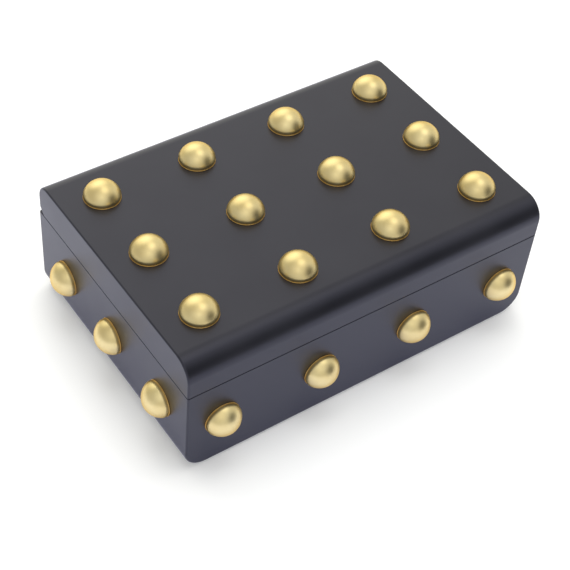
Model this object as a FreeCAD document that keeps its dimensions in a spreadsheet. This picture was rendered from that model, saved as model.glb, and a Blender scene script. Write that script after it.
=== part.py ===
# A lacquered trinket box with a hinged lid and domed brass studs.
#
# The frame: +X to the right, +Y to the back, +Z up, millimetres. The origin is under the middle of the
# box, on the table that the felt feet stand on. The carcass is glued up from mitred boards, then its
# outside is rounded over as one piece, so every board is its blank cut by the rounded outside form.

import FreeCAD
import Part

import os

import Sketcher
from FreeCAD import Placement, Rotation, Vector

doc = FreeCAD.newDocument("trinket_box")


# Driving sizes

DRIVING_SIZES = {
    # body
    "box_length": 254.0,
    "box_width": 174.0,
    "base_height": 65.2,
    "lid_height": 24.8,
    "seam_gap": 0.4,
    "wall_thick": 12.0,
    "bottom_thick": 9.0,
    "top_thick": 9.0,
    # rounding of the outside
    "base_end_radius": 14.0,
    "lid_front_radius": 13.7,
    "lid_back_radius": 11.2,
    "arris_radius": 1.2,
    "rim_arris_radius": 0.5,
    "lid_back_setback": 1.1,
    "bevel_depth": 3.9,
    "bevel_height": 4.6,
    # studs
    "stud_radius": 11.45,
    "stud_height": 10.7,
    "stud_lip_width": 0.15,
    "stud_lip_height": 0.4,
    "post_radius": 1.2,
    "post_length": 7.0,
    "lid_stud_columns": 4,
    "lid_stud_rows": 3,
    "lid_stud_pitch_across": 66.8,
    "lid_stud_pitch_deep": 54.6,
    "long_side_stud_count": 4,
    "long_side_stud_pitch": 68.8,
    "long_side_stud_drop": 31.0,
    "end_stud_count": 3,
    "end_stud_pitch": 55.2,
    "end_stud_drop": 29.8,
    "end_stud_shift": 2.2,
    # hinges
    "hinge_spacing": 140.0,
    "hinge_length": 30.0,
    "hinge_inset": 2.75,
    "knuckle_count": 5,
    "knuckle_radius": 1.6,
    "knuckle_end_gap": 0.15,
    "pin_radius": 0.75,
    "pin_clearance": 0.04,
    "leaf_width": 8.0,
    "leaf_thick": 1.0,
    "leaf_fit": 0.1,
    "barrel_clearance": 0.25,
    # hinge screws
    "screws_per_leaf": 3,
    "screw_pitch": 11.0,
    "screw_edge": 3.1,
    "screw_radius": 0.8,
    "screw_head_radius": 1.6,
    "screw_length": 8.0,
    "screw_slot_width": 0.4,
    "screw_slot_depth": 0.3,
    # linings and feet
    "liner_thick": 2.0,
    "liner_gap": 0.3,
    "liner_drop": 3.0,
    "floor_pad_thick": 3.0,
    "lid_pad_thick": 3.0,
    "pad_edge_radius": 1.0,
    "foot_thick": 1.6,
    "foot_radius": 7.0,
    "foot_inset_x": 27.0,
    "foot_inset_y": 16.0,
}

# Sizes and places that follow from the driving ones

DERIVED_SIZES = {
    "half_length": "dims.box_length / 2",
    "half_width": "dims.box_width / 2",
    "inner_half_length": "dims.box_length / 2 - dims.wall_thick",
    "inner_half_width": "dims.box_width / 2 - dims.wall_thick",
    # heights above the table
    "floor_level": "dims.foot_thick + dims.bottom_thick",
    "rim_level": "dims.foot_thick + dims.base_height",
    "seam_level": "dims.foot_thick + dims.base_height + dims.seam_gap / 2",
    "lid_rim_level": "dims.foot_thick + dims.base_height + dims.seam_gap",
    "lid_top_level": "lid_rim_level + dims.lid_height",
    "lid_under_level": "lid_rim_level + dims.lid_height - dims.top_thick",
    "wall_height": "dims.base_height - dims.bottom_thick",
    "rail_height": "dims.lid_height - dims.top_thick",
    # back of the lid
    "lid_back": "dims.box_width / 2 - dims.lid_back_setback",
    "bevel_foot": "dims.box_width / 2 - dims.lid_back_setback - dims.bevel_depth",
    "bevel_top_level": "lid_rim_level + dims.bevel_height",
    # studs
    "stud_lip_radius": "dims.stud_radius + dims.stud_lip_width",
    "lid_stud_first_x": "(dims.lid_stud_columns - 1) * dims.lid_stud_pitch_across / 2",
    "lid_stud_first_y": "(dims.lid_stud_rows - 1) * dims.lid_stud_pitch_deep / 2",
    "long_side_stud_first": "(dims.long_side_stud_count - 1) * dims.long_side_stud_pitch / 2",
    "long_side_stud_level": "seam_level - dims.long_side_stud_drop",
    "end_stud_first": "(dims.end_stud_count - 1) * dims.end_stud_pitch / 2 + dims.end_stud_shift",
    "end_stud_level": "seam_level - dims.end_stud_drop",
    # hinges
    "hinge_y": "dims.box_width / 2 - dims.hinge_inset",
    "left_hinge_x": "-dims.hinge_spacing / 2",
    "right_hinge_x": "dims.hinge_spacing / 2",
    "leaf_inner_y": "hinge_y - dims.leaf_width",
    "leaf_outer_y": "hinge_y - dims.knuckle_radius - dims.barrel_clearance",
    "leaf_half_length": "dims.hinge_length / 2",
    "knuckle_pitch": "dims.hinge_length / dims.knuckle_count",
    "knuckle_length": "knuckle_pitch - dims.knuckle_end_gap",
    "knuckle_double_pitch": "2 * knuckle_pitch",
    "base_knuckles": "ceil(dims.knuckle_count / 2)",
    "lid_knuckles": "floor(dims.knuckle_count / 2)",
    "left_hinge_start": "left_hinge_x - dims.hinge_length / 2",
    "right_hinge_start": "right_hinge_x - dims.hinge_length / 2",
    "left_base_knuckle_x": "left_hinge_start + dims.knuckle_end_gap / 2",
    "right_base_knuckle_x": "right_hinge_start + dims.knuckle_end_gap / 2",
    "left_lid_knuckle_x": "left_base_knuckle_x + knuckle_pitch",
    "right_lid_knuckle_x": "right_base_knuckle_x + knuckle_pitch",
    "running_bore_radius": "dims.pin_radius + dims.pin_clearance",
    "mortise_inner_y": "hinge_y - dims.leaf_width - dims.leaf_fit",
    "mortise_half_length": "dims.hinge_length / 2 + dims.leaf_fit",
    "gain_depth": "dims.knuckle_radius - dims.seam_gap / 2 + dims.barrel_clearance",
    # hinge screws
    "screw_y": "hinge_y - dims.leaf_width + dims.screw_edge",
    "screw_first": "(dims.screws_per_leaf - 1) * dims.screw_pitch / 2",
    "left_screw_x": "left_hinge_x - screw_first",
    "right_screw_x": "right_hinge_x - screw_first",
    "screw_slot_half": "dims.screw_slot_width / 2",
    "screw_cone": "dims.screw_head_radius - dims.screw_radius",
    "screw_shank_end": "dims.screw_length - dims.screw_radius",
    # linings and feet
    "liner_top_level": "rim_level - dims.liner_drop",
    "liner_height": "rim_level - dims.liner_drop - floor_level",
    "liner_inner_y": "dims.box_width / 2 - dims.wall_thick - dims.liner_thick",
    "liner_inner_x": "dims.box_length / 2 - dims.wall_thick - dims.liner_thick",
    "end_liner_half": "liner_inner_y - dims.liner_gap",
    "long_liner_half": "inner_half_length - dims.liner_gap",
    "floor_pad_half_x": "liner_inner_x - dims.liner_gap",
    "floor_pad_half_y": "liner_inner_y - dims.liner_gap",
    "lid_pad_half_x": "inner_half_length - dims.liner_gap",
    "lid_pad_half_y": "inner_half_width - dims.liner_gap",
    "lid_pad_level": "lid_under_level - dims.lid_pad_thick",
    "foot_x": "dims.box_length / 2 - dims.foot_inset_x",
    "foot_y": "dims.box_width / 2 - dims.foot_inset_y",
    "foot_spacing_x": "2 * foot_x",
    "foot_spacing_y": "2 * foot_y",
}


def fill_sheet(name, cells):
    """A sheet with one aliased cell for each named size."""
    sheet = doc.addObject("Spreadsheet::Sheet", name)
    for row, (alias, content) in enumerate(cells.items(), start=1):
        sheet.set("A%d" % row, alias)
        sheet.set("B%d" % row, content)
        sheet.setAlias("B%d" % row, alias)
    doc.recompute()
    return sheet


dims = fill_sheet("dims", {alias: str(size) for alias, size in DRIVING_SIZES.items()})
places = fill_sheet("places", {alias: "=" + formula for alias, formula in DERIVED_SIZES.items()})


# Sketches and features bound to the sheets


# Things that come in twos whatever the sizes are: the hinges, and the feet along each side
PAIR = "2"


def bound(term):
    """The expression for a term such as half_length, -half_length or a plain count."""
    if term.isdigit():
        return term
    alias = term.lstrip("-")
    sheet = "dims" if alias in DRIVING_SIZES else "places"
    return "%s%s.%s" % ("-" if term.startswith("-") else "", sheet, alias)


def value(term):
    """The present size of a term."""
    if term == "0":
        return 0.0
    alias = term.lstrip("-")
    sheet = dims if alias in DRIVING_SIZES else places
    size = float(sheet.get(alias))
    return -size if term.startswith("-") else size


def new_body(name):
    body = doc.addObject("PartDesign::Body", name)
    body.Label = name
    return body


def origin_feature(body, role):
    return next(item for item in body.Origin.OriginFeatures if item.Role == role)


def new_sketch(body, name, plane, centre=("0", "0", "0"), turn=0):
    """A sketch on an origin plane. centre moves it in the plane's own axes, turn spins it in the plane."""
    sketch = body.newObject("Sketcher::SketchObject", name)
    sketch.AttachmentSupport = [(origin_feature(body, plane), "")]
    sketch.MapMode = "FlatFace"
    sketch.AttachmentOffset = Placement(
        Vector(*[value(term) for term in centre]), Rotation(Vector(0, 0, 1), turn)
    )
    for axis, term in zip("xyz", centre):
        if term != "0":
            sketch.setExpression("AttachmentOffset.Base." + axis, bound(term))
    return sketch


def pin_point(sketch, geometry, point, corner):
    """Ties a point of the sketch to a corner given by two terms."""
    for kind, axis, term in (("DistanceX", -2, corner[0]), ("DistanceY", -1, corner[1])):
        if term == "0":
            sketch.addConstraint(Sketcher.Constraint("PointOnObject", geometry, point, axis))
            continue
        index = sketch.addConstraint(
            Sketcher.Constraint(kind, -1, 1, geometry, point, value(term))
        )
        name = "%s_%d_%d" % (kind, geometry, point)
        sketch.renameConstraint(index, name)
        sketch.setExpression("Constraints." + name, bound(term))


def draw_polygon(sketch, corners):
    """A closed outline through corners, each held by its own two sizes."""
    first = sketch.GeometryCount
    spots = [Vector(value(x), value(y), 0) for x, y in corners]
    for index, spot in enumerate(spots):
        following = spots[(index + 1) % len(spots)]
        sketch.addGeometry(Part.LineSegment(spot, following))
    for index, corner in enumerate(corners):
        following = first + (index + 1) % len(corners)
        sketch.addConstraint(Sketcher.Constraint("Coincident", first + index, 2, following, 1))
        pin_point(sketch, first + index, 1, corner)


def draw_box(sketch, x_low, x_high, y_low, y_high):
    draw_polygon(
        sketch, [(x_low, y_low), (x_high, y_low), (x_high, y_high), (x_low, y_high)]
    )


def draw_circle(sketch, centre, radius):
    spot = Vector(value(centre[0]), value(centre[1]), 0)
    circle = Part.Circle(spot, Vector(0, 0, 1), value(radius))
    geometry = sketch.addGeometry(circle)
    pin_point(sketch, geometry, 3, centre)
    index = sketch.addConstraint(Sketcher.Constraint("Radius", geometry, value(radius)))
    name = "Radius_%d" % geometry
    sketch.renameConstraint(index, name)
    sketch.setExpression("Constraints." + name, bound(radius))


def extrude(body, kind, sketch, length, backwards=False):
    """A Pad or a Pocket of one sketch."""
    feature = body.newObject("PartDesign::" + kind, sketch.Name + "_" + kind.lower())
    feature.Profile = sketch
    feature.setExpression("Length", bound(length))
    feature.Reversed = backwards
    doc.recompute()
    return feature


def turn_round(body, kind, sketch):
    """A Revolution or a Groove of one sketch about its own vertical axis."""
    feature = body.newObject("PartDesign::" + kind, sketch.Name + "_" + kind.lower())
    feature.Profile = sketch
    feature.ReferenceAxis = (sketch, ["V_Axis"])
    feature.Angle = 360
    doc.recompute()
    return feature


def run_length(count, pitch):
    """The expression for the distance from the first copy to the last."""
    return "%s * (%s - 1)" % (bound(pitch), bound(count))


def repeat(body, features, axis, count, pitch, second=None):
    """Copies features along an origin axis, and along a second one given as (axis, count, pitch)."""
    pattern = body.newObject("PartDesign::LinearPattern", features[0].Name + "_row")
    pattern.Originals = features
    pattern.Direction = (origin_feature(body, axis), [""])
    pattern.setExpression("Occurrences", bound(count))
    pattern.setExpression("Length", run_length(count, pitch))
    if second:
        second_axis, second_count, second_pitch = second
        pattern.Direction2 = (origin_feature(body, second_axis), [""])
        pattern.setExpression("Occurrences2", bound(second_count))
        pattern.setExpression("Length2", run_length(second_count, second_pitch))
    body.Tip = pattern
    doc.recompute()
    return pattern


def round_edges(body, name, radius, chosen):
    """A fillet on the edges of the body that the test picks by their bounding boxes."""
    base = body.Tip
    names = [
        "Edge%d" % index
        for index, edge in enumerate(base.Shape.Edges, start=1)
        if chosen(edge.BoundBox)
    ]
    fillet = body.newObject("PartDesign::Fillet", name)
    fillet.Base = (base, names)
    fillet.setExpression("Radius", bound(radius))
    body.Tip = fillet
    doc.recompute()
    return fillet


def lies_at(low, high, spot):
    """Whether a box side is flat and lies at spot."""
    return abs(low - spot) < 0.01 and abs(high - spot) < 0.01


subparts = []


def keep(piece, name):
    piece.Label = name
    subparts.append(piece)


# The outside form of the base: a block whose two short bottom edges are rounded over

base_form = new_body("base_form")
base_plan = new_sketch(base_form, "base_plan", "XY_Plane", ("0", "0", "foot_thick"))
draw_box(base_plan, "-half_length", "half_length", "-half_width", "half_width")
extrude(base_form, "Pad", base_plan, "base_height")
round_edges(
    base_form,
    "base_end_rounding",
    "base_end_radius",
    lambda box: box.YLength > value("half_width") and lies_at(box.ZMin, box.ZMax, value("foot_thick")),
)
round_edges(
    base_form,
    "base_arris",
    "arris_radius",
    lambda box: (
        lies_at(abs(box.YMin), abs(box.YMax), value("half_width"))
        and box.YLength < 0.01
        and not lies_at(box.ZMin, box.ZMax, value("rim_level"))
    ),
)
round_edges(
    base_form,
    "base_rim_arris",
    "rim_arris_radius",
    lambda box: lies_at(box.ZMin, box.ZMax, value("rim_level")),
)

# The outside form of the lid: its long top edges are rounded, its ends are flat, and a bevel runs along
# the bottom of its back, where it comes to rest against the base when the lid is open

lid_form = new_body("lid_form")
lid_section = new_sketch(lid_form, "lid_section", "YZ_Plane", ("0", "0", "-half_length"))
draw_polygon(
    lid_section,
    [
        ("-half_width", "lid_rim_level"),
        ("bevel_foot", "lid_rim_level"),
        ("lid_back", "bevel_top_level"),
        ("lid_back", "lid_top_level"),
        ("-half_width", "lid_top_level"),
    ],
)
extrude(lid_form, "Pad", lid_section, "box_length")
for edge_name, radius, place in (
    ("lid_front_rounding", "lid_front_radius", "-half_width"),
    ("lid_back_rounding", "lid_back_radius", "lid_back"),
):
    round_edges(
        lid_form,
        edge_name,
        radius,
        lambda box, place=place: (
            lies_at(box.YMin, box.YMax, value(place))
            and lies_at(box.ZMin, box.ZMax, value("lid_top_level"))
        ),
    )
round_edges(
    lid_form,
    "lid_arris",
    "arris_radius",
    lambda box: (
        lies_at(abs(box.XMin), abs(box.XMax), value("half_length"))
        and box.XLength < 0.01
        and not lies_at(box.ZMin, box.ZMax, value("lid_rim_level"))
    ),
)
round_edges(
    lid_form,
    "lid_rim_arris",
    "rim_arris_radius",
    lambda box: (
        lies_at(box.ZMin, box.ZMax, value("lid_rim_level"))
        and box.YMin < value("-half_width") + value("wall_thick")
    ),
)


# Boards of the carcass


def trim(blank, form, name):
    """The blank as the rounded outside form leaves it."""
    board = doc.addObject("Part::Common", name)
    board.Base = blank
    board.Tool = form
    doc.recompute()
    keep(board, name)


# Outside corner, outside corner, inside corner, inside corner: a board mitred at both ends
MITRED_PLANS = {
    "front": [
        ("-half_length", "-half_width"),
        ("half_length", "-half_width"),
        ("inner_half_length", "-inner_half_width"),
        ("-inner_half_length", "-inner_half_width"),
    ],
    "back": [
        ("half_length", "half_width"),
        ("-half_length", "half_width"),
        ("-inner_half_length", "inner_half_width"),
        ("inner_half_length", "inner_half_width"),
    ],
    "left": [
        ("-half_length", "half_width"),
        ("-half_length", "-half_width"),
        ("-inner_half_length", "-inner_half_width"),
        ("-inner_half_length", "inner_half_width"),
    ],
    "right": [
        ("half_length", "-half_width"),
        ("half_length", "half_width"),
        ("inner_half_length", "inner_half_width"),
        ("inner_half_length", "-inner_half_width"),
    ],
}


def mitred_blank(name, side, level, height):
    blank = new_body(name + "_blank")
    plan = new_sketch(blank, name + "_plan", "XY_Plane", ("0", "0", level))
    draw_polygon(plan, MITRED_PLANS[side])
    extrude(blank, "Pad", plan, height)
    return blank


def flat_blank(name, level, thickness):
    blank = new_body(name + "_blank")
    plan = new_sketch(blank, name + "_plan", "XY_Plane", ("0", "0", level))
    draw_box(plan, "-half_length", "half_length", "-half_width", "half_width")
    extrude(blank, "Pad", plan, thickness)
    return blank


# Where each row of side studs starts: the plane that holds the post holes, the first hole in that plane,
# whether the drill goes against the plane's own direction, and the row's axis, count and pitch
SIDE_ROWS = {
    "front": (
        "XZ_Plane",
        ("-long_side_stud_first", "long_side_stud_level", "half_width"),
        False,
        ("X_Axis", "long_side_stud_count", "long_side_stud_pitch"),
    ),
    "back": (
        "XZ_Plane",
        ("-long_side_stud_first", "long_side_stud_level", "-half_width"),
        True,
        ("X_Axis", "long_side_stud_count", "long_side_stud_pitch"),
    ),
    "left": (
        "YZ_Plane",
        ("-end_stud_first", "end_stud_level", "-half_length"),
        True,
        ("Y_Axis", "end_stud_count", "end_stud_pitch"),
    ),
    "right": (
        "YZ_Plane",
        ("-end_stud_first", "end_stud_level", "half_length"),
        False,
        ("Y_Axis", "end_stud_count", "end_stud_pitch"),
    ),
}


def drill_posts(blank, name, plane, first, backwards, row, second=None):
    """Blind holes that the stud posts are driven into."""
    hole = new_sketch(blank, name + "_post_hole", plane, first)
    draw_circle(hole, ("0", "0"), "post_radius")
    bore = extrude(blank, "Pocket", hole, "post_length", backwards)
    repeat(blank, [bore], *row, second=second)


def cut_hinge_seats(blank, name, level, into_lid):
    """The mortise for each hinge leaf and the pilot holes for its screws, in the rim at level."""
    seat = new_sketch(blank, name + "_mortise", "XY_Plane", ("left_hinge_x", "0", level))
    draw_box(seat, "-mortise_half_length", "mortise_half_length", "mortise_inner_y", "hinge_y")
    mortise = extrude(blank, "Pocket", seat, "leaf_thick", into_lid)
    repeat(blank, [mortise], "X_Axis", PAIR, "hinge_spacing")
    pilot = new_sketch(blank, name + "_pilot", "XY_Plane", ("left_hinge_x", "screw_y", level))
    draw_circle(pilot, ("-screw_first", "0"), "screw_radius")
    hole = extrude(blank, "Pocket", pilot, "screw_length", into_lid)
    repeat(
        blank,
        [hole],
        "X_Axis",
        "screws_per_leaf",
        "screw_pitch",
        second=("X_Axis", PAIR, "hinge_spacing"),
    )


trim(flat_blank("base_bottom_panel", "foot_thick", "bottom_thick"), base_form, "base_bottom_panel")

for side, (plane, first, backwards, row) in SIDE_ROWS.items():
    wall_name = "base_%s_wall" % side
    wall = mitred_blank(wall_name, side, "floor_level", "wall_height")
    drill_posts(wall, wall_name, plane, first, backwards, row)
    if side == "back":
        cut_hinge_seats(wall, wall_name, "rim_level", False)
        # the gain: an open notch for the lower half of each hinge barrel
        gain_plan = new_sketch(wall, "gain_plan", "XY_Plane", ("left_hinge_x", "0", "rim_level"))
        draw_box(gain_plan, "-mortise_half_length", "mortise_half_length", "leaf_outer_y", "half_width")
        gain = extrude(wall, "Pocket", gain_plan, "gain_depth")
        repeat(wall, [gain], "X_Axis", PAIR, "hinge_spacing")
    trim(wall, base_form, wall_name)

lid_board = flat_blank("lid_top_panel", "lid_under_level", "top_thick")
drill_posts(
    lid_board,
    "lid_top_panel",
    "XY_Plane",
    ("-lid_stud_first_x", "-lid_stud_first_y", "lid_top_level"),
    False,
    ("X_Axis", "lid_stud_columns", "lid_stud_pitch_across"),
    second=("Y_Axis", "lid_stud_rows", "lid_stud_pitch_deep"),
)
trim(lid_board, lid_form, "lid_top_panel")

for side in MITRED_PLANS:
    rail_name = "lid_%s_rail" % side
    rail = mitred_blank(rail_name, side, "lid_rim_level", "rail_height")
    if side == "back":
        cut_hinge_seats(rail, rail_name, "lid_rim_level", True)
    trim(rail, lid_form, rail_name)


# Domed brass nails: a stamped head with a thin lip, on a round post


def draw_stud(sketch):
    """Half of the stud's section: the post below the sketch's own level, the dome above it."""
    corners = [
        ("0", "-post_length"),
        ("post_radius", "-post_length"),
        ("post_radius", "0"),
        ("stud_lip_radius", "0"),
        ("stud_lip_radius", "stud_lip_height"),
        ("stud_radius", "stud_lip_height"),
    ]
    crown = ("0", "stud_height")
    spots = [Vector(value(x), value(y), 0) for x, y in corners]
    for start, end in zip(spots, spots[1:]):
        sketch.addGeometry(Part.LineSegment(start, end))
    last = len(corners) - 2
    for index in range(last):
        sketch.addConstraint(Sketcher.Constraint("Coincident", index, 2, index + 1, 1))
    for index, corner in enumerate(corners[:-1]):
        pin_point(sketch, index, 1, corner)
    pin_point(sketch, last, 2, corners[-1])
    rise = value("stud_height") - value("stud_lip_height")
    spread = value("stud_radius")
    dome_radius = (rise * rise + spread * spread) / (2 * rise)
    centre = Vector(0, value("stud_height") - dome_radius, 0)
    rim_angle = (spots[-1] - centre).getAngle(Vector(1, 0, 0))
    if spots[-1].y < centre.y:
        rim_angle = -rim_angle
    top = Vector(0, value("stud_height"), 0)
    circle = Part.Circle(centre, Vector(0, 0, 1), dome_radius)
    quarter = (top - centre).getAngle(Vector(1, 0, 0))
    dome = sketch.addGeometry(Part.ArcOfCircle(circle, rim_angle, quarter))
    sketch.addConstraint(Sketcher.Constraint("Coincident", dome, 1, last, 2))
    sketch.addConstraint(Sketcher.Constraint("PointOnObject", dome, 3, -2))
    pin_point(sketch, dome, 2, crown)
    axis = sketch.addGeometry(Part.LineSegment(top, spots[0]))
    sketch.addConstraint(Sketcher.Constraint("Coincident", axis, 1, dome, 2))
    sketch.addConstraint(Sketcher.Constraint("Coincident", axis, 2, 0, 1))


def stud_group(name, plane, first, turn, row, second=None):
    group = new_body(name)
    section = new_sketch(group, name + "_section", plane, first, turn)
    draw_stud(section)
    stud = turn_round(group, "Revolution", section)
    repeat(group, [stud], *row, second=second)
    keep(group, name)


# The section lies in the plane of the row, spun so that its dome points out of the wall
SIDE_SECTIONS = {
    "front": (("-long_side_stud_first", "-half_width", "long_side_stud_level"), 180),
    "back": (("-long_side_stud_first", "half_width", "long_side_stud_level"), 0),
    "left": (("-half_length", "-end_stud_first", "end_stud_level"), 90),
    "right": (("half_length", "-end_stud_first", "end_stud_level"), -90),
}

for side, (first, turn) in SIDE_SECTIONS.items():
    stud_group("base_%s_studs" % side, "XY_Plane", first, turn, SIDE_ROWS[side][3])

stud_group(
    "lid_studs",
    "XZ_Plane",
    ("-lid_stud_first_x", "lid_top_level", "lid_stud_first_y"),
    0,
    ("X_Axis", "lid_stud_columns", "lid_stud_pitch_across"),
    second=("Y_Axis", "lid_stud_rows", "lid_stud_pitch_deep"),
)


# Butt hinges: two leaves whose knuckles alternate on one pin


def draw_screw(sketch, downwards):
    """Half of a countersunk screw's section, with its head flush at the sketch's own level."""
    sign = "-" if downwards else ""
    draw_polygon(
        sketch,
        [
            ("0", "0"),
            ("screw_head_radius", "0"),
            ("screw_radius", sign + "screw_cone"),
            ("screw_radius", sign + "screw_shank_end"),
            ("0", sign + "screw_length"),
        ],
    )


def hinge_leaf(side, owner, knuckles, first_knuckle, bore_radius):
    """One leaf. owner is base or lid: the base leaf lies under the seam and the lid leaf above it."""
    name = "%s_hinge_%s_leaf" % (side, owner)
    hinge_x = side + "_hinge_x"
    in_lid = owner == "lid"
    face_level = "lid_rim_level" if in_lid else "rim_level"
    leaf = new_body(name)
    plate = new_sketch(leaf, name + "_plate", "XY_Plane", (hinge_x, "0", face_level))
    draw_box(plate, "-leaf_half_length", "leaf_half_length", "leaf_inner_y", "leaf_outer_y")
    extrude(leaf, "Pad", plate, "leaf_thick", not in_lid)

    barrel = new_sketch(leaf, name + "_barrel", "YZ_Plane", ("hinge_y", "seam_level", first_knuckle))
    draw_circle(barrel, ("0", "0"), "knuckle_radius")
    knuckle = extrude(leaf, "Pad", barrel, "knuckle_length")
    web = new_sketch(leaf, name + "_web", "YZ_Plane", ("0", face_level, first_knuckle))
    thickness = "leaf_thick" if in_lid else "-leaf_thick"
    draw_box(web, "leaf_inner_y", "hinge_y", "0", thickness)
    tab = extrude(leaf, "Pad", web, "knuckle_length")
    repeat(leaf, [knuckle, tab], "X_Axis", knuckles, "knuckle_double_pitch")

    bore = new_sketch(leaf, name + "_bore", "YZ_Plane", ("hinge_y", "seam_level", side + "_hinge_start"))
    draw_circle(bore, ("0", "0"), bore_radius)
    extrude(leaf, "Pocket", bore, "hinge_length", True)

    sink = new_sketch(leaf, name + "_sink", "XZ_Plane", (side + "_screw_x", face_level, "-screw_y"))
    draw_screw(sink, not in_lid)
    countersink = turn_round(leaf, "Groove", sink)
    repeat(leaf, [countersink], "X_Axis", "screws_per_leaf", "screw_pitch")
    keep(leaf, name)


for side in ("left", "right"):
    hinge_leaf(side, "base", "base_knuckles", side + "_base_knuckle_x", "pin_radius")
    hinge_leaf(side, "lid", "lid_knuckles", side + "_lid_knuckle_x", "running_bore_radius")
    pin_name = side + "_hinge_pin"
    pin = new_body(pin_name)
    pin_end = new_sketch(pin, pin_name + "_end", "YZ_Plane", ("hinge_y", "seam_level", side + "_hinge_start"))
    draw_circle(pin_end, ("0", "0"), "pin_radius")
    extrude(pin, "Pad", pin_end, "hinge_length")
    keep(pin, pin_name)


def hinge_screws(owner):
    """The six screws of the two leaves on one side of the seam, each with a straight slot."""
    name = owner + "_hinge_screws"
    in_lid = owner == "lid"
    face_level = "lid_rim_level" if in_lid else "rim_level"
    group = new_body(name)
    section = new_sketch(group, name + "_section", "XZ_Plane", ("left_screw_x", face_level, "-screw_y"))
    draw_screw(section, not in_lid)
    screw = turn_round(group, "Revolution", section)
    slot = new_sketch(group, name + "_slot", "XY_Plane", ("left_screw_x", "screw_y", face_level))
    draw_box(slot, "-screw_head_radius", "screw_head_radius", "-screw_slot_half", "screw_slot_half")
    groove = extrude(group, "Pocket", slot, "screw_slot_depth", in_lid)
    repeat(
        group,
        [screw, groove],
        "X_Axis",
        "screws_per_leaf",
        "screw_pitch",
        second=("X_Axis", PAIR, "hinge_spacing"),
    )
    keep(group, name)


hinge_screws("base")
hinge_screws("lid")


# Linings: cloth-covered boards on the walls, a pad on the floor and one under the lid


def lining(name, plan, level, height):
    board = new_body(name)
    outline = new_sketch(board, name + "_plan", "XY_Plane", ("0", "0", level))
    draw_box(outline, *plan)
    extrude(board, "Pad", outline, height)
    return board


LINER_PLANS = {
    "front": ("-long_liner_half", "long_liner_half", "-inner_half_width", "-liner_inner_y"),
    "back": ("-long_liner_half", "long_liner_half", "liner_inner_y", "inner_half_width"),
    "left": ("-inner_half_length", "-liner_inner_x", "-end_liner_half", "end_liner_half"),
    "right": ("liner_inner_x", "inner_half_length", "-end_liner_half", "end_liner_half"),
}

for side, plan in LINER_PLANS.items():
    liner_name = "base_%s_liner" % side
    keep(lining(liner_name, plan, "floor_level", "liner_height"), liner_name)

floor_pad = lining(
    "base_floor_pad",
    ("-floor_pad_half_x", "floor_pad_half_x", "-floor_pad_half_y", "floor_pad_half_y"),
    "floor_level",
    "floor_pad_thick",
)
round_edges(
    floor_pad,
    "floor_pad_edge",
    "pad_edge_radius",
    lambda box: lies_at(box.ZMin, box.ZMax, value("floor_level") + value("floor_pad_thick")),
)
keep(floor_pad, "base_floor_pad")

lid_pad = lining(
    "lid_pad",
    ("-lid_pad_half_x", "lid_pad_half_x", "-lid_pad_half_y", "lid_pad_half_y"),
    "lid_pad_level",
    "lid_pad_thick",
)
round_edges(
    lid_pad,
    "lid_pad_edge",
    "pad_edge_radius",
    lambda box: lies_at(box.ZMin, box.ZMax, value("lid_pad_level")),
)
keep(lid_pad, "lid_pad")


# Felt discs under the corners

feet = new_body("felt_feet")
foot_plan = new_sketch(feet, "foot_plan", "XY_Plane", ("-foot_x", "-foot_y", "0"))
draw_circle(foot_plan, ("0", "0"), "foot_radius")
foot = extrude(feet, "Pad", foot_plan, "foot_thick")
repeat(
    feet,
    [foot],
    "X_Axis",
    PAIR,
    "foot_spacing_x",
    second=("Y_Axis", PAIR, "foot_spacing_y"),
)
keep(feet, "felt_feet")


# Checks, then one file for each sub-part

doc.recompute()
for item in doc.Objects:
    if "Invalid" in item.State or "Error" in item.State:
        raise RuntimeError("%s could not be made: %s" % (item.Label, item.State))
for piece in subparts:
    if piece.Shape.isNull() or not piece.Shape.isValid():
        raise RuntimeError("%s has no valid shape" % piece.Label)

os.makedirs("parts", exist_ok=True)
for piece in subparts:
    piece.Shape.exportStep("parts/%s.step" % piece.Label)
    print(piece.Label, len(piece.Shape.Solids), round(piece.Shape.Volume, 1))
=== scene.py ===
import random
from math import cos, pi, radians, sin, tanh, tau

import bmesh
import bpy
from mathutils import Euler, Matrix, Vector


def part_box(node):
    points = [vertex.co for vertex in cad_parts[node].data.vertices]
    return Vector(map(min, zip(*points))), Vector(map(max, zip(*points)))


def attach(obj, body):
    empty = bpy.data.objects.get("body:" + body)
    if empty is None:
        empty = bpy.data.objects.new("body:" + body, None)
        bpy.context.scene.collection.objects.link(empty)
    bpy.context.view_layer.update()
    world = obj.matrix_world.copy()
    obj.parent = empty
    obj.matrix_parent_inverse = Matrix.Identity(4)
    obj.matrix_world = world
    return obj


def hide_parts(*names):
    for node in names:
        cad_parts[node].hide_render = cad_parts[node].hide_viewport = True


# A lacquered trinket box with a hinged lid and brass studs, dressed round its CAD frame. The frame stands on
# the table with +X to the right, +Y to the back and +Z up, in metres.

MM = 0.001

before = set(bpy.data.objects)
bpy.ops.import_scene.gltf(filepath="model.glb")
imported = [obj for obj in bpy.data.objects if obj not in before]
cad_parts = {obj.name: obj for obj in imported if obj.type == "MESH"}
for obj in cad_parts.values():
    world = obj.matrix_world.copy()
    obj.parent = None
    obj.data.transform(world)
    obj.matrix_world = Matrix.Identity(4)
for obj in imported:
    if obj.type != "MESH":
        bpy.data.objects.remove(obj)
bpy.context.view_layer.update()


# Base carcass
# Five boards, mitred at the corners, glued up into an open box and rounded over along the two short
# bottom edges. Charcoal lacquer sprayed over the whole carcass closes the joints.

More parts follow.
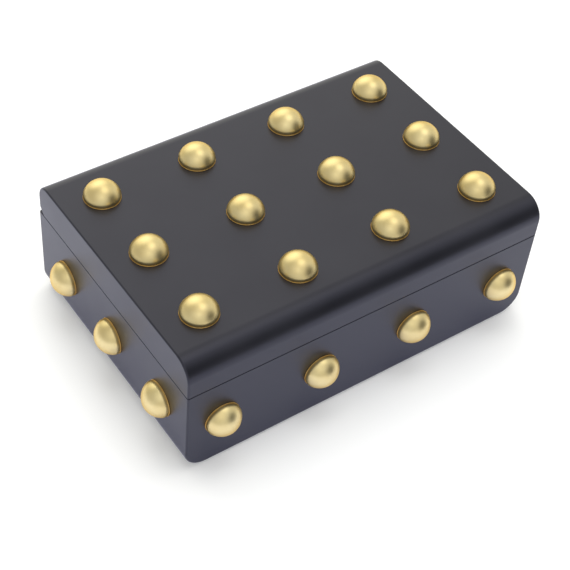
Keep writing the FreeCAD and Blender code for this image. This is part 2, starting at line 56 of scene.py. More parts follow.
BASE_END_RADIUS = 14.0 * MM
ARRIS_RADIUS = 1.2 * MM
RIM_ARRIS_RADIUS = 0.5 * MM
ROUNDING_SEGMENTS = 20
ARRIS_SEGMENTS = 4
CLOSE = 0.02 * MM
SHARP_ANGLE = radians(32)
SAME_WAY = 0.9
LARGEST_FACE_WINS = 100
NOISE_LOW, NOISE_HIGH = 0.3, 0.7
CHARCOAL, PALER_CHARCOAL = (0.010, 0.0103, 0.0135), (0.015, 0.0154, 0.0190)
COOL_SHEEN = (0.78, 0.78, 1.0)
LACQUER_IOR = 1.5

WALL_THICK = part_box("base_left_wall")[1].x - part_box("base_left_wall")[0].x
FLOOR_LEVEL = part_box("base_floor_pad")[0].z


def near(value, target):
    """Whether two lengths are the same but for rounding."""
    return abs(value - target) < CLOSE


def flat_on(edge, axis, level):
    """Whether both ends of an edge lie at a level of one axis."""
    return all(near(vert.co[axis], level) for vert in edge.verts)


def is_corner(edge):
    """Whether the faces on both sides of an edge turn away from each other."""
    return edge.is_manifold and abs(edge.link_faces[0].normal.dot(edge.link_faces[1].normal)) < SAME_WAY


def block(low, high):
    """A closed rectangular block between two corners."""
    bm = bmesh.new()
    bmesh.ops.create_cube(bm, size=1.0)
    bmesh.ops.scale(bm, vec=high - low, verts=bm.verts)
    bmesh.ops.translate(bm, vec=(low + high) / 2, verts=bm.verts)
    return bm


def round_over(bm, radius, segments, chosen):
    """Rounds the edges that the test picks."""
    edges = [edge for edge in bm.edges if chosen(edge)]
    bmesh.ops.bevel(
        bm,
        geom=edges,
        offset=radius,
        offset_type="OFFSET",
        affect="EDGES",
        segments=segments,
        profile=0.5,
        material=-1,
        clamp_overlap=True,
    )


def sink(bm, face, wall, depth, back_wall=None):
    """Cuts a hollow with upright sides into a flat face, wall away from its edge all round."""
    bmesh.ops.inset_region(bm, faces=[face], thickness=wall, use_even_offset=True)
    if back_wall is not None:
        furthest = max(vert.co.y for vert in face.verts)
        for vert in face.verts:
            if near(vert.co.y, furthest):
                vert.co.y = back_wall
    floor = bmesh.ops.extrude_discrete_faces(bm, faces=[face])["faces"][0]
    bmesh.ops.translate(bm, vec=(0, 0, depth), verts=floor.verts)


def finished(bm, name, body):
    """Makes the piece, with flat faces that shade flat and rounded edges that shade round."""
    bmesh.ops.recalc_face_normals(bm, faces=bm.faces)
    mesh = bpy.data.meshes.new(name)
    bm.to_mesh(mesh)
    bm.free()
    mesh.shade_smooth()
    mesh.set_sharp_from_angle(angle=SHARP_ANGLE)
    piece = bpy.data.objects.new(name, mesh)
    bpy.context.scene.collection.objects.link(piece)
    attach(piece, body)
    return piece


def keep_flats_flat(piece):
    """Shades each large flat face by its own direction, right up to the rounding beside it."""
    weighting = piece.modifiers.new("flat_faces", "WEIGHTED_NORMAL")
    weighting.mode = "FACE_AREA"
    weighting.weight = LARGEST_FACE_WINS
    weighting.keep_sharp = True


def cut_out(piece, cutters):
    """Takes blocks out of a piece, as a router does."""
    for low, high in cutters:
        mesh = bpy.data.meshes.new("cutter")
        cutter_form = block(Vector(low), Vector(high))
        cutter_form.to_mesh(mesh)
        cutter_form.free()
        cutter = bpy.data.objects.new("cutter", mesh)
        bpy.context.scene.collection.objects.link(cutter)
        cut = piece.modifiers.new("cut", "BOOLEAN")
        cut.object = cutter
        cut.solver = "EXACT"
        depsgraph = bpy.context.evaluated_depsgraph_get()
        result = bpy.data.meshes.new_from_object(piece.evaluated_get(depsgraph))
        piece.modifiers.remove(cut)
        before = piece.data
        piece.data = result
        result.name = piece.name
        bpy.data.meshes.remove(before)
        bpy.data.objects.remove(cutter)
        bpy.data.meshes.remove(mesh)
    piece.data.shade_smooth()
    piece.data.set_sharp_from_angle(angle=SHARP_ANGLE)


def corner_points(nodes):
    """The lowest and highest corners of several frame nodes taken together."""
    boxes = [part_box(node) for node in nodes]
    low = Vector(min(box[0][axis] for box in boxes) for axis in range(3))
    high = Vector(max(box[1][axis] for box in boxes) for axis in range(3))
    return low, high


def start_material(name):
    """A new material, with its node tree and its main shader."""
    material = bpy.data.materials.new(name)
    material.use_nodes = True
    tree = material.node_tree
    return material, tree, tree.nodes["Principled BSDF"]


def add_node(tree, kind, **settings):
    """A new node, with each setting put on the socket or the property of that name."""
    node = tree.nodes.new(kind)
    for key, setting in settings.items():
        if key in node.inputs:
            node.inputs[key].default_value = setting
        else:
            setattr(node, key, setting)
    return node


def object_coordinates(tree):
    """Where a point lies on the part, which turns with the piece."""
    return add_node(tree, "ShaderNodeTexCoord").outputs["Object"]


def noise(tree, coordinates, scale, detail=3.0, roughness=0.5):
    """A cloudy factor. Most of it lies between NOISE_LOW and NOISE_HIGH."""
    texture = add_node(tree, "ShaderNodeTexNoise", Scale=scale, Detail=detail, Roughness=roughness)
    tree.links.new(coordinates, texture.inputs["Vector"])
    return texture.outputs["Fac"]


def spread(tree, factor, low, high, low_from=NOISE_LOW, high_from=NOISE_HIGH):
    """Maps a factor to a range of plain numbers."""
    ranged = add_node(tree, "ShaderNodeMapRange")
    ranged.inputs["From Min"].default_value = low_from
    ranged.inputs["From Max"].default_value = high_from
    ranged.inputs["To Min"].default_value = low
    ranged.inputs["To Max"].default_value = high
    tree.links.new(factor, ranged.inputs["Value"])
    return ranged.outputs["Result"]


def combine(tree, operation, first, second=None):
    """The result of a plain sum on one or two numbers, each a socket or a value."""
    sum_node = add_node(tree, "ShaderNodeMath", operation=operation)
    for socket, number in zip(sum_node.inputs, (first, second)):
        if isinstance(number, float):
            socket.default_value = number
        elif number is not None:
            tree.links.new(number, socket)
    return sum_node.outputs["Value"]


def blend_colours(tree, factor, first, second):
    """Blends two colours over the range of a noise."""
    ramp = add_node(tree, "ShaderNodeValToRGB")
    ends = ramp.color_ramp.elements
    for end, position, colour in zip(ends, (NOISE_LOW, NOISE_HIGH), (first, second)):
        end.position = position
        end.color = (*colour, 1)
    tree.links.new(factor, ramp.inputs["Fac"])
    return ramp.outputs["Color"]


def bump(tree, height, depth, strength=1.0, under=None):
    """Relief too fine to model, laid over coarser relief if there is any under it."""
    node = add_node(tree, "ShaderNodeBump", Strength=strength, Distance=depth)
    tree.links.new(height, node.inputs["Height"])
    if under is not None:
        tree.links.new(under, node.inputs["Normal"])
    return node.outputs["Normal"]


def charcoal_lacquer():
    """Satin lacquer: a faint orange peel over a slow waviness, and a finish that isn't quite even."""
    material, tree, shader = start_material("charcoal_lacquer")
    where = object_coordinates(tree)
    cloudy = noise(tree, where, scale=22.0, detail=4.0)
    colour = blend_colours(tree, cloudy, CHARCOAL, PALER_CHARCOAL)
    tree.links.new(colour, shader.inputs["Base Color"])
    tree.links.new(spread(tree, cloudy, low=0.29, high=0.35), shader.inputs["Roughness"])
    shader.inputs["IOR"].default_value = LACQUER_IOR
    shader.inputs["Specular Tint"].default_value = (*COOL_SHEEN, 1)
    slow, fine = noise(tree, where, scale=30.0, detail=2.0), noise(tree, where, scale=700.0, detail=2.0)
    waviness = bump(tree, slow, depth=0.10 * MM, strength=0.35)
    peel = bump(tree, fine, depth=0.01 * MM, strength=0.35, under=waviness)
    tree.links.new(peel, shader.inputs["Normal"])
    return material


def dressed(piece, material, nodes):
    """Gives a piece its finish and hides the frame nodes it stands for."""
    piece.data.materials.clear()
    piece.data.materials.append(material)
    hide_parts(*nodes)
    return piece


lacquer = charcoal_lacquer()

BASE_BOARDS = [
    "base_bottom_panel",
    "base_front_wall",
    "base_back_wall",
    "base_left_wall",
    "base_right_wall",
]
base_low, base_high = corner_points(BASE_BOARDS)

carcass = block(base_low, base_high)
round_over(
    carcass,
    BASE_END_RADIUS,
    ROUNDING_SEGMENTS,
    lambda edge: flat_on(edge, 2, base_low.z)
    and (flat_on(edge, 0, base_low.x) or flat_on(edge, 0, base_high.x)),
)
rim = next(face for face in carcass.faces if near(face.calc_center_median().z, base_high.z))
sink(carcass, rim, WALL_THICK, FLOOR_LEVEL - base_high.z)
round_over(
    carcass,
    ARRIS_RADIUS,
    ARRIS_SEGMENTS,
    lambda edge: (flat_on(edge, 1, base_low.y) or flat_on(edge, 1, base_high.y))
    and not flat_on(edge, 2, base_high.z),
)


def outside_hollow(vert, low, high, wall):
    """Whether a point of a rim lies on its outer edge."""
    return (
        vert.co.x < low.x + wall - CLOSE
        or vert.co.x > high.x - wall + CLOSE
        or vert.co.y < low.y + wall - CLOSE
        or vert.co.y > high.y - wall + CLOSE
    )


round_over(
    carcass,
    RIM_ARRIS_RADIUS,
    ARRIS_SEGMENTS,
    lambda edge: flat_on(edge, 2, base_high.z)
    and all(outside_hollow(vert, base_low, base_high, WALL_THICK) for vert in edge.verts)
    and is_corner(edge),
)

base_carcass = finished(carcass, "base_carcass", "base")

LEAF_THICK = 1.0 * MM
SEAT_PLAY = 0.1 * MM
BARREL_PLAY = 0.25 * MM


def leaf_seats(side):
    """The shallow mortise for a base leaf, and the deeper notch behind it for the hinge barrel."""
    low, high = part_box(side + "_hinge_base_leaf")
    barrel_radius = (high.z - low.z) / 2
    axis_y = high.y - barrel_radius
    shallow = base_high.z - LEAF_THICK
    return [
        (
            (low.x - SEAT_PLAY, low.y - SEAT_PLAY, shallow),
            (high.x + SEAT_PLAY, axis_y, base_high.z + WALL_THICK),
        ),
        (
            (low.x - SEAT_PLAY, axis_y - barrel_radius - BARREL_PLAY, low.z - BARREL_PLAY),
            (high.x + SEAT_PLAY, base_high.y + WALL_THICK, base_high.z + WALL_THICK),
        ),
    ]


cut_out(base_carcass, leaf_seats("left") + leaf_seats("right"))
keep_flats_flat(base_carcass)
dressed(base_carcass, lacquer, BASE_BOARDS)


# Lid carcass
# The lid board on four mitred rails. Its long top edges are rounded, its ends are flat, and a bevel along
# the bottom of its back stops the lid just past upright. The same lacquer covers it.

LID_FRONT_RADIUS = 13.7 * MM
LID_BACK_RADIUS = 11.2 * MM
LID_RIM_ARRIS_RADIUS = 0.25 * MM
BEVEL_HEIGHT = 4.6 * MM
BEVEL_DEPTH = 3.9 * MM

LID_BOARDS = ["lid_top_panel", "lid_front_rail", "lid_back_rail", "lid_left_rail", "lid_right_rail"]
lid_low, lid_high = corner_points(LID_BOARDS)
lid_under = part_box("lid_pad")[1].z
lid_hollow_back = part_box("lid_back_rail")[0].y

shell = block(lid_low, lid_high)
bevel_foot = Vector((0, lid_high.y - BEVEL_DEPTH, lid_low.z))
bevel_facing = Vector((0, BEVEL_HEIGHT, -BEVEL_DEPTH)).normalized()
bevelled = bmesh.ops.bisect_plane(
    shell,
    geom=shell.verts[:] + shell.edges[:] + shell.faces[:],
    dist=CLOSE,
    plane_co=bevel_foot,
    plane_no=bevel_facing,
    clear_outer=True,
)
bevel_edges = [item for item in bevelled["geom_cut"] if isinstance(item, bmesh.types.BMEdge)]
bmesh.ops.edgeloop_fill(shell, edges=bevel_edges)
for radius, edge_y in ((LID_FRONT_RADIUS, lid_low.y), (LID_BACK_RADIUS, lid_high.y)):
    round_over(
        shell,
        radius,
        ROUNDING_SEGMENTS,
        lambda edge: flat_on(edge, 2, lid_high.z) and flat_on(edge, 1, edge_y),
    )
lid_rim = next(face for face in shell.faces if all(near(vert.co.z, lid_low.z) for vert in face.verts))
sink(shell, lid_rim, WALL_THICK, lid_under - lid_low.z, back_wall=lid_hollow_back)
round_over(
    shell,
    ARRIS_RADIUS,
    ARRIS_SEGMENTS,
    lambda edge: (flat_on(edge, 0, lid_low.x) or flat_on(edge, 0, lid_high.x))
    and not flat_on(edge, 2, lid_low.z),
)
round_over(
    shell,
    LID_RIM_ARRIS_RADIUS,
    ARRIS_SEGMENTS,
    lambda edge: flat_on(edge, 2, lid_low.z)
    and all(outside_hollow(vert, lid_low, lid_high, WALL_THICK) for vert in edge.verts)
    and not flat_on(edge, 1, bevel_foot.y)
    and is_corner(edge),
)

lid_carcass = finished(shell, "lid_carcass", "lid")

LEAF_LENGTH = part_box("left_hinge_lid_leaf")[1].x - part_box("left_hinge_lid_leaf")[0].x


def lid_leaf_seat(side):
    """The mortise for a lid leaf, which runs out through the bevel."""
    low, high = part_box(side + "_hinge_lid_leaf")
    axis_y = high.y - (high.z - low.z) / 2
    return [
        (
            (low.x - BARREL_PLAY, low.y - SEAT_PLAY, lid_low.z - WALL_THICK),
            (low.x + LEAF_LENGTH + BARREL_PLAY, axis_y, lid_low.z + LEAF_THICK),
        )
    ]


cut_out(lid_carcass, lid_leaf_seat("left") + lid_leaf_seat("right"))
keep_flats_flat(lid_carcass)
dressed(lid_carcass, lacquer, LID_BOARDS)


# Studs
# Large domed nails, stamped from brass sheet with a thin turned lip, and polished. Their posts are driven
# into the lacquered boards, so no two sit at quite the same angle.

SAME_POINT = CLOSE / 4
STUD_RADIUS = 11.45 * MM
STUD_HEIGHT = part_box("lid_studs")[1].z - lid_high.z
STUD_SHOULDER = 4.0 * MM
STUD_SHOULDER_ANGLE = radians(22)
STUD_LIP_RADIUS = 11.6 * MM
STUD_LIP_HEIGHT = 0.4 * MM
STUD_LEAN = radians(0.35)
LID_STUD_ROWS, LID_STUD_COLUMNS = 3, 4
AROUND_STUD = 72
DOME_RINGS = 22
LIP_STEPS = 5
SHOULDER_STEPS = 8
# Where the brown beside the lip is full, where it ends, and its colour: partly tarnish, partly painted shade
# and warm reflection
TARNISH_AND_SHADE_FULL = 0.4 * MM
TARNISH_AND_SHADE_END = 2.4 * MM
CLEAN_BRASS, PALER_BRASS = (0.75, 0.60, 0.28), (0.81, 0.68, 0.35)
TARNISH_AND_SHADE_BRASS = (0.80, 0.48, 0.12)
BRASS_EDGE_TINT = (0.95, 0.72, 0.40)
SEED = 4


def spun(profile, steps):
    """The closed mesh that a profile of radii and heights sweeps round the upright axis."""
    bm = bmesh.new()
    verts = [bm.verts.new((radius, 0, height)) for radius, height in profile]
    edges = [bm.edges.new(pair) for pair in zip(verts, verts[1:])]
    bmesh.ops.spin(
        bm,
        geom=verts + edges,
        cent=(0, 0, 0),
        axis=(0, 0, 1),
        angle=tau,
        steps=steps,
        use_merge=True,
    )
    bmesh.ops.remove_doubles(bm, verts=bm.verts, dist=SAME_POINT)
    bmesh.ops.recalc_face_normals(bm, faces=bm.faces)
    mesh = bpy.data.meshes.new("turned")
    bm.to_mesh(mesh)
    bm.free()
    return mesh


def stud_form():
    """One stud standing on the level surface at the origin: lip, short upright skirt, shoulder and dome."""
    dome_radius = (STUD_RADIUS - STUD_SHOULDER) / cos(STUD_SHOULDER_ANGLE) + STUD_SHOULDER
    dome_centre = STUD_HEIGHT - dome_radius
    skirt_top = dome_centre + (dome_radius - STUD_SHOULDER) * sin(STUD_SHOULDER_ANGLE)
    bead = STUD_LIP_HEIGHT / 2
    profile = [(0.0, 0.0), (STUD_LIP_RADIUS - bead, 0.0)]
    for step in range(1, LIP_STEPS * 2):
        angle = -pi / 2 + pi * step / (LIP_STEPS * 2)
        profile.append((STUD_LIP_RADIUS - bead + bead * cos(angle), bead + bead * sin(angle)))
    profile.append((STUD_RADIUS, STUD_LIP_HEIGHT))
    for step in range(SHOULDER_STEPS):
        angle = STUD_SHOULDER_ANGLE * step / SHOULDER_STEPS
        inward = STUD_SHOULDER * (1 - cos(angle))
        profile.append((STUD_RADIUS - inward, skirt_top + STUD_SHOULDER * sin(angle)))
    for ring in range(DOME_RINGS + 1):
        angle = STUD_SHOULDER_ANGLE + (pi / 2 - STUD_SHOULDER_ANGLE) * ring / DOME_RINGS
        profile.append((dome_radius * cos(angle), dome_centre + dome_radius * sin(angle)))
    return spun(profile, AROUND_STUD)


def height_above_lacquer(tree, where):
    """How far a point stands out from the box, whose sides are plain planes."""
    apart = add_node(tree, "ShaderNodeSeparateXYZ")
    tree.links.new(where, apart.inputs["Vector"])
    across, along, upward = (
        combine(tree, "SUBTRACT", combine(tree, "ABSOLUTE", apart.outputs[axis]), face)
        for axis, face in (("X", base_high.x), ("Y", base_high.y), ("Z", lid_high.z))
    )
    return combine(tree, "MAXIMUM", combine(tree, "MAXIMUM", across, along), upward)


def mix_colours(tree, factor, first, second):
    """Mixes two colours, each a socket or a value. A Mix node has sockets for numbers and vectors too."""
    mix = add_node(tree, "ShaderNodeMix", data_type="RGBA")
    tree.links.new(factor, mix.inputs["Factor"])
    ends = [socket for socket in mix.inputs if socket.type == "RGBA"]
    for socket, colour in zip(ends, (first, second)):
        if isinstance(colour, tuple):
            socket.default_value = (*colour, 1)
        else:
            tree.links.new(colour, socket)
    return next(socket for socket in mix.outputs if socket.type == "RGBA")


def polished_brass():
    """Pale polished brass with fine wipe marks, golden brown toward the lip: partly tarnish where no cloth
    reaches, partly painted shade and warm reflection.
    """
    material, tree, shader = start_material("polished_brass")
    where = object_coordinates(tree)
    tarnish = noise(tree, where, scale=90.0, detail=4.0)
    clean = blend_colours(tree, tarnish, CLEAN_BRASS, PALER_BRASS)
    patchy = spread(tree, noise(tree, where, scale=420.0, detail=3.0), low=0.6, high=1.0)
    # Browner near the lacquer: partly tarnish, partly painted shade and a painted warm reflection where the
    # stud meets the box
    height = height_above_lacquer(tree, where)
    tarnish_and_shade_reach = spread(tree, height, low=1.0, high=0.0, low_from=TARNISH_AND_SHADE_FULL, high_from=TARNISH_AND_SHADE_END)
    tarnish_and_shade = combine(tree, "MULTIPLY", patchy, tarnish_and_shade_reach)
    tree.links.new(mix_colours(tree, tarnish_and_shade, clean, TARNISH_AND_SHADE_BRASS), shader.inputs["Base Color"])
    shader.inputs["Metallic"].default_value = 1.0
    shader.inputs["Specular Tint"].default_value = (*BRASS_EDGE_TINT, 1)
    dullness = spread(tree, tarnish_and_shade, low=0.36, high=0.46, low_from=0.0, high_from=1.0)
    tree.links.new(dullness, shader.inputs["Roughness"])
    dents, wipes = noise(tree, where, scale=120.0, detail=1.0), noise(tree, where, scale=2500.0, detail=2.0)
    dapple = bump(tree, dents, depth=0.05 * MM, strength=0.12)
    wiped = bump(tree, wipes, depth=0.004 * MM, strength=0.3, under=dapple)
    tree.links.new(wiped, shader.inputs["Normal"])
    return material


brass = polished_brass()
one_stud = stud_form()
chance = random.Random(SEED)


def evenly(low, high, count):
    """The centres of a row of studs whose heads reach from low to high."""
    first = low + STUD_LIP_RADIUS
    last = high - STUD_LIP_RADIUS
    return [first + (last - first) * index / (count - 1) for index in range(count)]


def drive_studs(name, node, body, outward, centres):
    """One group of studs, each turned to face outward and leaning a little."""
    bm = bmesh.new()
    facing = Vector(outward).to_track_quat("Z", "Y").to_matrix().to_4x4()
    for centre in centres:
        start = len(bm.verts)
        bm.from_mesh(one_stud)
        lean = Euler((chance.gauss(0, STUD_LEAN), chance.gauss(0, STUD_LEAN), chance.uniform(0, tau)))
        place = Matrix.Translation(centre) @ facing @ lean.to_matrix().to_4x4()
        bmesh.ops.transform(bm, matrix=place, verts=bm.verts[start:])
    dressed(finished(bm, name, body), brass, [node])


top_low, top_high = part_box("lid_studs")
drive_studs(
    "lid_stud_heads",
    "lid_studs",
    "lid",
    (0, 0, 1),
    [
        Vector((x, y, lid_high.z))
        for y in evenly(top_low.y, top_high.y, LID_STUD_ROWS)
        for x in evenly(top_low.x, top_high.x, LID_STUD_COLUMNS)
    ],
)

# Which way each row on the base faces, how many studs it has and where its face lies
SIDE_STUDS = {
    "front": ((0, -1, 0), 4, base_low.y),
    "back": ((0, 1, 0), 4, base_high.y),
    "left": ((-1, 0, 0), 3, base_low.x),
    "right": ((1, 0, 0), 3, base_high.x),
}
for side, (outward, count, face_level) in SIDE_STUDS.items():
    node = "base_%s_studs" % side
    row_low, row_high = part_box(node)
    level = (row_low.z + row_high.z) / 2
    if outward[0]:
        centres = [Vector((face_level, y, level)) for y in evenly(row_low.y, row_high.y, count)]
    else:
        centres = [Vector((x, face_level, level)) for x in evenly(row_low.x, row_high.x, count)]
    drive_studs("base_%s_stud_heads" % side, node, "base", outward, centres)
bpy.data.meshes.remove(one_stud)


# Linings
# Velvet over thin foam and card: a pad in the bottom, a pad under the lid and a board against each wall.
# They are pressed in and glued, so the cloth is tight, the faces swell a little and the edges are soft.

PAD_EDGE_RADIUS = 0.9 * MM
LINER_EDGE_RADIUS = 0.6 * MM
PAD_SWELL = 1.1 * MM
LINER_SWELL = 0.4 * MM
CLOTH_STEP = 5.0 * MM
EDGE_STEPS = 5
PRESSED_FRAMES = 20
AIR_PRESSURE = 4.0
STILL = CLOSE / 10
VELVET_DARK, VELVET_PALE = (0.024, 0.024, 0.028), (0.045, 0.045, 0.051)


def pad_form(length, width, thick, radius, swell):
    """A closed flat pad on the level plane at the origin, lower than the finished pad by its swell."""
    bm = bmesh.new()
    bmesh.ops.create_grid(
        bm,
        x_segments=round(length / CLOTH_STEP),
        y_segments=round(width / CLOTH_STEP),
        size=0.5,
    )
    bmesh.ops.scale(bm, vec=(length, width, 1), verts=bm.verts)
    sheet = bm.faces[:]
    raised = bmesh.ops.extrude_face_region(bm, geom=sheet, use_keep_orig=True)["geom"]
    upper = [item for item in raised if isinstance(item, bmesh.types.BMVert)]
    bmesh.ops.translate(bm, vec=(0, 0, thick - swell), verts=upper)
    bmesh.ops.recalc_face_normals(bm, faces=bm.faces)
    round_over(
        bm,
        radius,
        EDGE_STEPS,
        lambda edge: flat_on(edge, 2, thick - swell) and is_corner(edge),
    )
    return bm


def blow_up(bm, swell):
    """Fills a pad with air as a cloth simulation, held by its underside, and caps how far it swells."""
    mesh = bpy.data.meshes.new("pad")
    bm.to_mesh(mesh)
    bm.free()
    pad = bpy.data.objects.new("pad", mesh)
    bpy.context.scene.collection.objects.link(pad)
    held = pad.vertex_groups.new(name="held")
    held.add([vert.index for vert in mesh.vertices if near(vert.co.z, 0)], 1.0, "REPLACE")
    cloth_motion = pad.modifiers.new("air", "CLOTH")
    cloth_motion.settings.vertex_group_mass = held.name
    cloth_motion.settings.use_pressure = True
    cloth_motion.settings.uniform_pressure_force = AIR_PRESSURE
    cloth_motion.settings.effector_weights.gravity = 0
    cloth_motion.point_cache.frame_start = 1
    cloth_motion.point_cache.frame_end = PRESSED_FRAMES
    for frame_number in range(1, PRESSED_FRAMES + 1):
        bpy.context.scene.frame_set(frame_number)
    swollen = pad.evaluated_get(bpy.context.evaluated_depsgraph_get()).to_mesh()
    for vert, moved in zip(mesh.vertices, swollen.vertices):
        move = moved.co - vert.co
        if move.length > STILL:
            vert.co += move.normalized() * swell * tanh(move.length / swell)
    pad.to_mesh_clear()
    result = bmesh.new()
    result.from_mesh(mesh)
    bpy.data.objects.remove(pad)
    bpy.data.meshes.remove(mesh)
    bpy.context.scene.frame_set(1)
    return result


def velvet():
    """Dark velvet: soft at the edges, with a fine nap and slow patches where the pile lies differently."""
    material, tree, shader = start_material("lining_cloth")
    where = object_coordinates(tree)
    pile = noise(tree, where, scale=45.0, detail=5.0)
    tree.links.new(blend_colours(tree, pile, VELVET_DARK, VELVET_PALE), shader.inputs["Base Color"])
    tree.links.new(spread(tree, pile, low=0.82, high=0.95), shader.inputs["Roughness"])
    shader.inputs["Sheen Weight"].default_value = 0.35
    shader.inputs["Sheen Roughness"].default_value = 0.4
    shader.inputs["Specular IOR Level"].default_value = 0.2
    nap = bump(tree, noise(tree, where, scale=2600.0, detail=2.0), depth=0.08 * MM, strength=0.5)
    tree.links.new(nap, shader.inputs["Normal"])
    return material


cloth = velvet()


def lay_pad(name, node, body, face, radius, swell):
    """Makes the pad that fills a node, with its swollen face turned the way it is seen."""
    low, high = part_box(node)
    middle = (low + high) / 2
    facing = Vector(face)
    turn = facing.to_track_quat("Z", "Y" if facing.z else "X").to_matrix()
    length, width, thick = (abs(extent) for extent in turn.transposed() @ (high - low))
    bm = blow_up(pad_form(length, width, thick, radius, swell), swell)
    place = Matrix.Translation(middle - facing * thick / 2) @ turn.to_4x4()
    bmesh.ops.transform(bm, matrix=place, verts=bm.verts)
    pad = dressed(finished(bm, name, body), cloth, [node])


lay_pad("base_floor_cushion", "base_floor_pad", "base", (0, 0, 1), PAD_EDGE_RADIUS, PAD_SWELL)
lay_pad("lid_cushion", "lid_pad", "lid", (0, 0, -1), PAD_EDGE_RADIUS, PAD_SWELL)
for side, (outward, count, face_level) in SIDE_STUDS.items():
    node = "base_%s_liner" % side
    inward = tuple(-step for step in outward)
    lay_pad(node + "_cloth", node, "base", inward, LINER_EDGE_RADIUS, LINER_SWELL)


# Hinge brass
# Two small butt hinges let into the back: drawn brass leaves and pins with turned screws. They are duller
# than the studs, with the marks of rolling and a little grime.

GRIMY_BRASS, DULL_BRASS = (0.56, 0.43, 0.19), (0.72, 0.58, 0.29)


def rolled_brass():
    """Drawn brass left as it came, a little dulled."""
    material, tree, shader = start_material("hinge_brass")
    where = object_coordinates(tree)
    grime = noise(tree, where, scale=160.0, detail=5.0)
    tree.links.new(blend_colours(tree, grime, GRIMY_BRASS, DULL_BRASS), shader.inputs["Base Color"])
    shader.inputs["Metallic"].default_value = 1.0
    tree.links.new(spread(tree, grime, low=0.38, high=0.28), shader.inputs["Roughness"])
    marks = bump(tree, noise(tree, where, scale=900.0, detail=3.0), depth=0.01 * MM, strength=0.4)
    tree.links.new(marks, shader.inputs["Normal"])
    return material


hinge_brass = rolled_brass()
hinge_nodes = ["base_hinge_screws", "lid_hinge_screws"]
for part in ("base_leaf", "lid_leaf", "pin"):
    hinge_nodes += ["left_hinge_" + part, "right_hinge_" + part]
for node in hinge_nodes:
    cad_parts[node].material_slots[0].material = hinge_brass


# Feet
# Four punched discs of grey wool felt under the base keep the lacquer off the table. Their cut edges are
# a little rounded.

FOOT_RADIUS = 7.0 * MM
FOOT_EDGE = 0.35 * MM
AROUND_FOOT = 64
FELT_DARK, FELT_PALE = (0.10, 0.10, 0.105), (0.19, 0.19, 0.195)


def foot_form(thick):
    """One felt disc standing on the level plane at the origin."""
    profile = [(0.0, 0.0)]
    for height, start in ((FOOT_EDGE, -pi / 2), (thick - FOOT_EDGE, 0)):
        for step in range(EDGE_STEPS + 1):
            angle = start + pi / 2 * step / EDGE_STEPS
            out = FOOT_RADIUS - FOOT_EDGE + FOOT_EDGE * cos(angle)
            profile.append((out, height + FOOT_EDGE * sin(angle)))
    profile.append((0.0, thick))
    return spun(profile, AROUND_FOOT)


def grey_felt():
    """Pressed wool felt: matted fibres in lighter and darker greys."""
    material, tree, shader = start_material("grey_felt")
    where = object_coordinates(tree)
    fibres = noise(tree, where, scale=1400.0, detail=6.0, roughness=0.7)
    tree.links.new(blend_colours(tree, fibres, FELT_DARK, FELT_PALE), shader.inputs["Base Color"])
    tree.links.new(spread(tree, fibres, low=0.9, high=1.0), shader.inputs["Roughness"])
    shader.inputs["Sheen Weight"].default_value = 0.3
    matted = bump(tree, fibres, depth=0.15 * MM, strength=0.6)
    tree.links.new(matted, shader.inputs["Normal"])
    return material


feet_low, feet_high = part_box("felt_feet")
feet = bmesh.new()
disc = foot_form(feet_high.z - feet_low.z)
for x in (feet_low.x + FOOT_RADIUS, feet_high.x - FOOT_RADIUS):
    for y in (feet_low.y + FOOT_RADIUS, feet_high.y - FOOT_RADIUS):
        start = len(feet.verts)
        feet.from_mesh(disc)
        bmesh.ops.translate(feet, vec=(x, y, feet_low.z), verts=feet.verts[start:])
bpy.data.meshes.remove(disc)
felt_discs = dressed(finished(feet, "felt_discs", "base"), grey_felt(), ["felt_feet"])


# Floor, light and camera
# A white table in a pale room with a wide window behind the box, a soft light above it and an unlit corner
# in front of it. A lamp overhead draws the shadow close round the box, and a smaller one hangs above the
# camera, which looks down over the left front corner.

FLOOR_SIZE = 1.1
FLOOR_CENTRE = Vector((-0.10, 0.10, 0))
PAPER = (0.85, 0.86, 0.88)

# What the table adds to its own shade as a glow: evenly to the camera, and in polished faces a painted
# bluish reflection
GLOW_SEEN = (0.18, 0.18, 0.18)
GLOW_REFLECTED = (0.15, 0.16, 0.32)

CAMERA_PLACE = Vector((-384.1, -478.1, 654.8)) * MM
CAMERA_TILT = radians(43.529)
CAMERA_ROLL = radians(-2.687)
CAMERA_HEADING = radians(-33.152)
CAMERA_LENS = 86.63
CAMERA_SHIFT = (0.0861, -0.0073)

floor_mesh = bpy.data.meshes.new("floor")
floor_form = bmesh.new()
bmesh.ops.create_grid(floor_form, x_segments=1, y_segments=1, size=FLOOR_SIZE / 2)
bmesh.ops.translate(floor_form, vec=FLOOR_CENTRE, verts=floor_form.verts)
floor_form.to_mesh(floor_mesh)
floor_form.free()
floor = bpy.data.objects.new("floor", floor_mesh)
bpy.context.scene.collection.objects.link(floor)


def white_paper():
    """Matt white that shows as near full white where no shadow falls, to the eye and in the lacquer. In
    polished faces it also glows bluish, a painted reflection.
    """
    material, tree, shader = start_material("white_paper")
    shader.inputs["Base Color"].default_value = (*PAPER, 1)
    shader.inputs["Roughness"].default_value = 0.9
    rays = add_node(tree, "ShaderNodeLightPath").outputs
    glow = add_node(tree, "ShaderNodeEmission", Strength=1.0)
    tint = mix_colours(tree, rays["Is Glossy Ray"], GLOW_SEEN, GLOW_REFLECTED)
    tree.links.new(tint, glow.inputs["Color"])
    both = add_node(tree, "ShaderNodeAddShader")
    tree.links.new(shader.outputs["BSDF"], both.inputs[0])
    tree.links.new(glow.outputs["Emission"], both.inputs[1])
    seen = combine(tree, "MAXIMUM", rays["Is Camera Ray"], rays["Is Glossy Ray"])
    choice = add_node(tree, "ShaderNodeMixShader")
    tree.links.new(seen, choice.inputs["Fac"])
    tree.links.new(shader.outputs["BSDF"], choice.inputs[1])
    tree.links.new(both.outputs["Shader"], choice.inputs[2])
    tree.links.new(choice.outputs["Shader"], tree.nodes["Material Output"].inputs["Surface"])
    return material


floor.data.materials.append(white_paper())

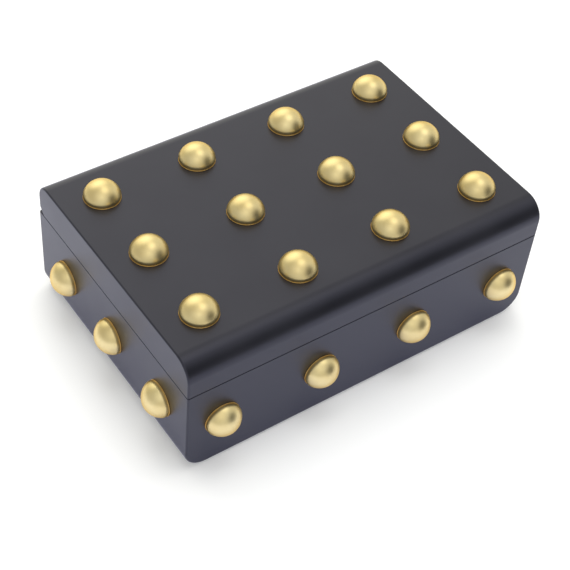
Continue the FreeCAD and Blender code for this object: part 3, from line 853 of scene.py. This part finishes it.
WALLS = 0.70
WINDOW_SIDE = Vector((0.12, 0.80, 0.59)).normalized()
DARK_CORNER = Vector((0.56, -0.80, 0.23)).normalized()
SKYLIGHT = Vector((0.24, -0.08, 0.97)).normalized()
CAMERA_SIDE = Vector((-0.40, -0.52, 0.75)).normalized()
RIGHT = Vector((1, 0, 0))
UPWARD = Vector((0, 0, 1))
OVERHEAD = Vector((0.06, 0.14, 1.0)).normalized()
LAMP_DISTANCE = 1.5
WINDOW_COLOUR = (1.0, 0.98, 0.88)
WALL_COLOUR = (1.0, 1.0, 1.0)

# How the light changes toward each side: the sum that is done, the side, the number far from it and the
# number at it, and how near to it (as a cosine) the change begins and ends
LIGHT_BY_SIDE = (
    ("MULTIPLY", RIGHT, 0.85, 1.25, -0.5, 0.9),
    ("MULTIPLY", UPWARD, 1.3, 1.0, 0.02, 0.20),
    ("MULTIPLY", DARK_CORNER, 1.0, 0.08, 0.82, 0.975),
    ("ADD", WINDOW_SIDE, 0.0, 1.18, 0.77, 1.0),
    ("ADD", SKYLIGHT, 0.0, 1.1, 0.915, 0.99),
    ("ADD", CAMERA_SIDE, 0.0, 0.35, 0.70, 1.0),
)


def studio_walls():
    """Pale walls, paler near the table and to the right, with an unlit corner in front and to the right, a
    wide window behind the box and a soft light above it."""
    world = bpy.data.worlds.new("studio")
    world.use_nodes = True
    tree = world.node_tree
    light = tree.nodes["Background"]
    direction = add_node(tree, "ShaderNodeTexCoord").outputs["Generated"]

    def toward(side):
        nearness = add_node(tree, "ShaderNodeVectorMath", operation="DOT_PRODUCT")
        nearness.inputs[1].default_value = side
        tree.links.new(direction, nearness.inputs[0])
        return nearness.outputs["Value"]

    strength = WALLS
    for operation, side, far, close, starts, full in LIGHT_BY_SIDE:
        change = spread(tree, toward(side), far, close, starts, full)
        strength = combine(tree, operation, strength, change)
    tree.links.new(strength, light.inputs["Strength"])
    colour = blend_colours(tree, toward(WINDOW_SIDE), WALL_COLOUR, WINDOW_COLOUR)
    tree.links.new(colour, light.inputs["Color"])
    backdrop = add_node(tree, "ShaderNodeBackground", Color=(1, 1, 1, 1), Strength=1.0)
    rays = add_node(tree, "ShaderNodeLightPath")
    choice = add_node(tree, "ShaderNodeMixShader")
    tree.links.new(rays.outputs["Is Camera Ray"], choice.inputs["Fac"])
    tree.links.new(light.outputs["Background"], choice.inputs[1])
    tree.links.new(backdrop.outputs["Background"], choice.inputs[2])
    tree.links.new(choice.outputs["Shader"], tree.nodes["World Output"].inputs["Surface"])
    return world


bpy.context.scene.world = studio_walls()


def softbox(name, away, size, brightness, reflected=True):
    """A square lamp that faces the box. Its brightness is the light that each part of it gives off."""
    light = bpy.data.lights.new(name, "AREA")
    light.shape = "SQUARE"
    light.size = size
    light.energy = brightness * pi * size**2
    lamp = bpy.data.objects.new(name, light)
    lamp.location = away * LAMP_DISTANCE
    lamp.rotation_euler = (-away).to_track_quat("-Z", "Y").to_euler()
    lamp.visible_glossy = reflected
    bpy.context.scene.collection.objects.link(lamp)


softbox("above_camera", CAMERA_SIDE, size=0.5, brightness=0.35)
softbox("overhead", OVERHEAD, size=0.9, brightness=3.2, reflected=False)

camera_data = bpy.data.cameras.new("camera")
camera_data.lens = CAMERA_LENS
camera_data.shift_x, camera_data.shift_y = CAMERA_SHIFT
camera = bpy.data.objects.new("camera", camera_data)
camera.location = CAMERA_PLACE
camera.rotation_euler = (CAMERA_TILT, CAMERA_ROLL, CAMERA_HEADING)
bpy.context.scene.collection.objects.link(camera)
bpy.context.scene.camera = camera

bpy.context.scene.view_settings.view_transform = "Standard"
